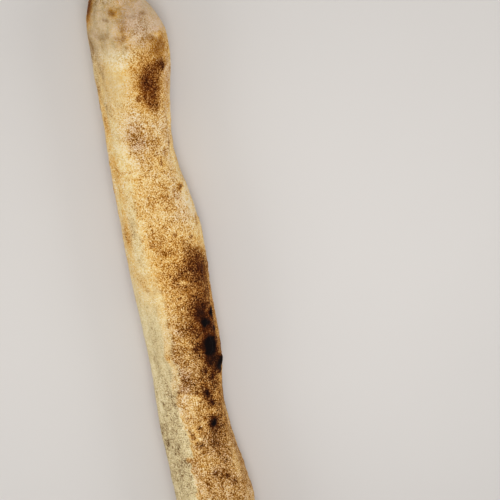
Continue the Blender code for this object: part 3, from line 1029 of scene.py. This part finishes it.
def crust_material(settings):
    """Baked dough, from ivory through gold to black, speckled, with brown dots and grey flecks."""
    material = bpy.data.materials.new("baked_crust")
    material.use_nodes = True
    tree = material.node_tree
    shader = tree.nodes["Principled BSDF"]
    place = millimetres(tree)
    drawn_out = millimetres(tree, (4.0, 1.0, 1.0))
    toast, black, warmth = (layer_value(tree, name) for name in ("toast", "black", "warmth"))
    speckle, flour = (layer_value(tree, name) for name in ("speckle", "flour"))
    broad = noise_value(tree, place, per_mm=0.14, detail=3.0)
    mottle = noise_value(tree, place, per_mm=0.38, detail=3.0)
    grain = noise_value(tree, place, per_mm=1.45, detail=2.0, roughness=0.7)
    fine = noise_value(tree, place, per_mm=2.4, detail=1.0)
    flecks = noise_value(tree, drawn_out, per_mm=0.9, detail=3.0, roughness=0.7)
    smudges = noise_value(tree, drawn_out, per_mm=0.5, detail=2.0, roughness=0.5)
    brown_dots = dots(tree, place, per_mm=0.34, largest=0.40)
    spots = dots(tree, place, per_mm=0.16, largest=0.34)

    # How brown each point is: its layer, mottled the less the browner it is, and speckled
    mottled = maths(tree, "MULTIPLY", mottle, maths(tree, "MULTIPLY_ADD", toast, -0.6, 0.98))
    mottled = maths(tree, "MULTIPLY", mottled, maths(tree, "MULTIPLY_ADD", speckle, 0.75, 0.25))
    speckled = weighted_sum(tree, ((grain, 0.62), (fine, 1.62)))
    browning = weighted_sum(
        tree,
        (
            (toast, 1.0),
            (broad, 0.20),
            (mottled, 1.0),
            (maths(tree, "MULTIPLY", speckled, speckle), 1.0),
            (maths(tree, "MULTIPLY", brown_dots, speckle), 0.16),
            (maths(tree, "MULTIPLY", spots, speckle), 0.26),
            (ramp_between(tree, flecks, 0.12, 0.30), 0.17),
            (maths(tree, "MULTIPLY", smudges, flour), 0.56),
        ),
    )
    colour = colour_ramp(tree, browning, CRUST_RAMP)

    # Its colour: warmer or rosier skin, floury dough, richer and duller grains, and burnt black
    warm = weighted_sum(
        tree, ((warmth, 2.0), (broad, 1.6), (mottle, 1.6), (grain, 2.0), (fine, 2.5))
    )
    ochre = maths(tree, "SUBTRACT", warm, 1.0, clamp=True)
    rosy = maths(tree, "SUBTRACT", 1.0, warm, clamp=True)
    colour = mixed(tree, ochre, colour, colour_ramp(tree, browning, OCHRE_RAMP))
    colour = mixed(tree, rosy, colour, colour_ramp(tree, browning, ROSY_RAMP))
    floury = weighted_sum(tree, ((flour, 1.0), (smudges, 0.3), (mottle, 0.4)))
    floury = ramp_between(tree, floury, 0.05, 0.85)
    colour = mixed(tree, floury, colour, colour_ramp(tree, browning, FLOUR_RAMP))
    richness = weighted_sum(tree, ((fine, 0.35), (grain, 0.15)))
    richer = add_node(tree, "ShaderNodeHueSaturation")
    feed(tree, richer, "Saturation", maths(tree, "ADD", richness, 1.0))
    feed(tree, richer, "Color", colour)
    colour = richer.outputs["Color"]
    burnt = weighted_sum(tree, ((black, 1.0), (mottle, 0.35), (grain, 0.30)))
    burnt = ramp_between(tree, burnt, 0.22, 0.85)
    colour = mixed(tree, burnt, colour, tuple(settings.burnt_colour))

    height = weighted_sum(tree, ((grain, 1.0), (fine, 0.6), (mottle, 0.5), (brown_dots, 0.2)))
    bump = add_node(tree, "ShaderNodeBump")
    feed(tree, bump, "Strength", 0.8)
    feed(tree, bump, "Distance", 0.45 * MM)
    feed(tree, bump, "Height", height)
    feed(tree, shader, "Normal", bump.outputs["Normal"])
    feed(tree, shader, "Base Color", colour)
    feed(tree, shader, "Roughness", settings.roughness)
    feed(tree, shader, "Specular IOR Level", 0.04)
    feed(tree, shader, "Subsurface Weight", 0.02)
    feed(tree, shader, "Subsurface Radius", (1.5 * MM, 0.8 * MM, 0.4 * MM))
    feed(tree, shader, "Subsurface Scale", 1.0)
    return material


# The floor, and where the lights stand, what they point at and how large they are, in metres
FLOOR_SIZE = 6.0
FLOOR_DROP = 0.02 * MM
FLOOR_SHADE = 0.97
KEY_PLACE = (0.02, -0.04, 0.66)
KEY_TARGET = (0.02, -0.01, 0.0)
KEY_SIZE = 0.18
KEY_SPREAD = math.radians(50.0)
BOX_ALONG, BOX_ASIDE, BOX_HEIGHT = 0.03, 0.42, 0.26
BOX_TARGET = (0.03, 0.0, 0.01)
BOX_LENGTH, BOX_WIDTH = 0.5, 0.25
SKY_COLOUR = (1.0, 0.99, 0.98, 1.0)


def floor_material(settings):
    """A plain pale floor with the faintest unevenness."""
    material = bpy.data.materials.new("pale_floor")
    material.use_nodes = True
    tree = material.node_tree
    shader = tree.nodes["Principled BSDF"]
    cloud = noise_value(tree, millimetres(tree), per_mm=0.01, detail=3.0)
    shade = ramp_between(tree, cloud, -0.6, 0.6)
    red, green, blue, _ = settings.floor_colour
    darker = (red * FLOOR_SHADE, green * FLOOR_SHADE, blue * FLOOR_SHADE, 1.0)
    feed(tree, shader, "Base Color", mixed(tree, shade, darker, (red, green, blue, 1.0)))
    feed(tree, shader, "Roughness", 0.9)
    return material


# Where the camera looks from: the place it looks at, how far off it is, how it leans and turns,
# and how wide the view is at that distance, as 500 pixels at 2.8 a millimetre
LOOK_AT = Vector((34.66, -29.5, 11.0)) * MM
CAMERA_DISTANCE = 600.0 * MM
CAMERA_LEAN = math.radians(20.0)
CAMERA_ROLL = math.radians(10.76)
SENSOR_WIDTH = 36.0
VIEW_WIDTH = 500.0 / 2.8 * MM


def add_camera():
    """A camera that looks down on the stick, which runs up the picture."""
    forward = Vector((-math.sin(CAMERA_LEAN), 0.0, -math.cos(CAMERA_LEAN)))
    level_up = Vector((math.cos(CAMERA_LEAN), 0.0, -math.sin(CAMERA_LEAN)))
    level_right = Vector((0.0, -1.0, 0.0))
    right = math.cos(CAMERA_ROLL) * level_right - math.sin(CAMERA_ROLL) * level_up
    up = math.sin(CAMERA_ROLL) * level_right + math.cos(CAMERA_ROLL) * level_up
    turned = Matrix((right, up, -forward)).transposed()
    place = LOOK_AT - CAMERA_DISTANCE * forward
    bpy.ops.object.camera_add(location=place, rotation=turned.to_euler())
    camera = bpy.context.object
    camera.name = "camera"
    camera.data.sensor_width = SENSOR_WIDTH
    camera.data.lens = SENSOR_WIDTH * CAMERA_DISTANCE / VIEW_WIDTH
    bpy.context.scene.camera = camera


def add_light(name, kind, place, target, power):
    aim = (Vector(target) - Vector(place)).to_track_quat("-Z", "Y")
    bpy.ops.object.light_add(type=kind, location=place, rotation=aim.to_euler())
    light = bpy.context.object
    light.name = name
    light.data.energy = power
    return light.data


def add_lights(settings):
    """A wide spotlight with a soft edge, and a long softbox on each side for the flanks."""
    key = add_light("key", "SPOT", KEY_PLACE, KEY_TARGET, settings.key_power)
    key.shadow_soft_size = KEY_SIZE
    key.spot_size = KEY_SPREAD
    key.spot_blend = 1.0
    for name, aside in (("pale side", BOX_ASIDE), ("toasted side", -BOX_ASIDE)):
        place = (BOX_ALONG, aside, BOX_HEIGHT)
        box = add_light(name, "AREA", place, BOX_TARGET, settings.side_power)
        box.shape = "RECTANGLE"
        box.size = BOX_LENGTH
        box.size_y = BOX_WIDTH


class BREADSTICK_OT_crust(bpy.types.Operator):
    """Model the stick's crust and give it its baked finish"""

    bl_idname = "breadstick.add_crust"
    bl_label = "Add crust"

    def execute(self, context):
        settings = context.scene.bread_stick_crust
        crust = model_crust(settings)
        crust.data.materials.clear()
        crust.data.materials.append(crust_material(settings))
        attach(crust, BODY)
        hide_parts(CAD_NODE)
        return {"FINISHED"}


class BREADSTICK_OT_stage(bpy.types.Operator):
    """Lay the pale floor and set the soft light and the camera"""

    bl_idname = "breadstick.set_stage"
    bl_label = "Set stage"

    def execute(self, context):
        settings = context.scene.bread_stick_stage
        bpy.ops.object.select_all(action="DESELECT")
        bpy.ops.mesh.primitive_plane_add(size=FLOOR_SIZE, location=(0.0, 0.0, -FLOOR_DROP))
        floor = context.object
        floor.name = "floor"
        bpy.ops.object.transform_apply(location=True)
        floor.data.materials.append(floor_material(settings))
        add_camera()
        add_lights(settings)
        world = bpy.data.worlds.new("soft sky")
        world.use_nodes = True
        sky = world.node_tree.nodes["Background"]
        sky.inputs["Color"].default_value = SKY_COLOUR
        sky.inputs["Strength"].default_value = settings.sky_strength
        context.scene.world = world
        context.scene.view_settings.view_transform = "Standard"
        return {"FINISHED"}


class BREADSTICK_PT_panel(bpy.types.Panel):
    bl_idname = "BREADSTICK_PT_panel"
    bl_label = "Bread Stick"
    bl_space_type = "VIEW_3D"
    bl_region_type = "UI"
    bl_category = "Bread Stick"

    def draw(self, context):
        scene = context.scene
        for settings, operator in (
            (scene.bread_stick_crust, BREADSTICK_OT_crust),
            (scene.bread_stick_stage, BREADSTICK_OT_stage),
        ):
            for name in settings.bl_rna.properties.keys():
                if name not in ("rna_type", "name"):
                    self.layout.prop(settings, name)
            self.layout.operator(operator.bl_idname)


CLASSES = (
    BreadStickCrust,
    BreadStickStage,
    BREADSTICK_OT_crust,
    BREADSTICK_OT_stage,
    BREADSTICK_PT_panel,
)


def register():
    for kind in CLASSES:
        bpy.utils.register_class(kind)
    bpy.types.Scene.bread_stick_crust = bpy.props.PointerProperty(type=BreadStickCrust)
    bpy.types.Scene.bread_stick_stage = bpy.props.PointerProperty(type=BreadStickStage)


def unregister():
    del bpy.types.Scene.bread_stick_stage
    del bpy.types.Scene.bread_stick_crust
    for kind in reversed(CLASSES):
        bpy.utils.unregister_class(kind)


def main():
    register()
    bpy.ops.breadstick.add_crust()
    bpy.ops.breadstick.set_stage()


if __name__ == "__main__":
    main()
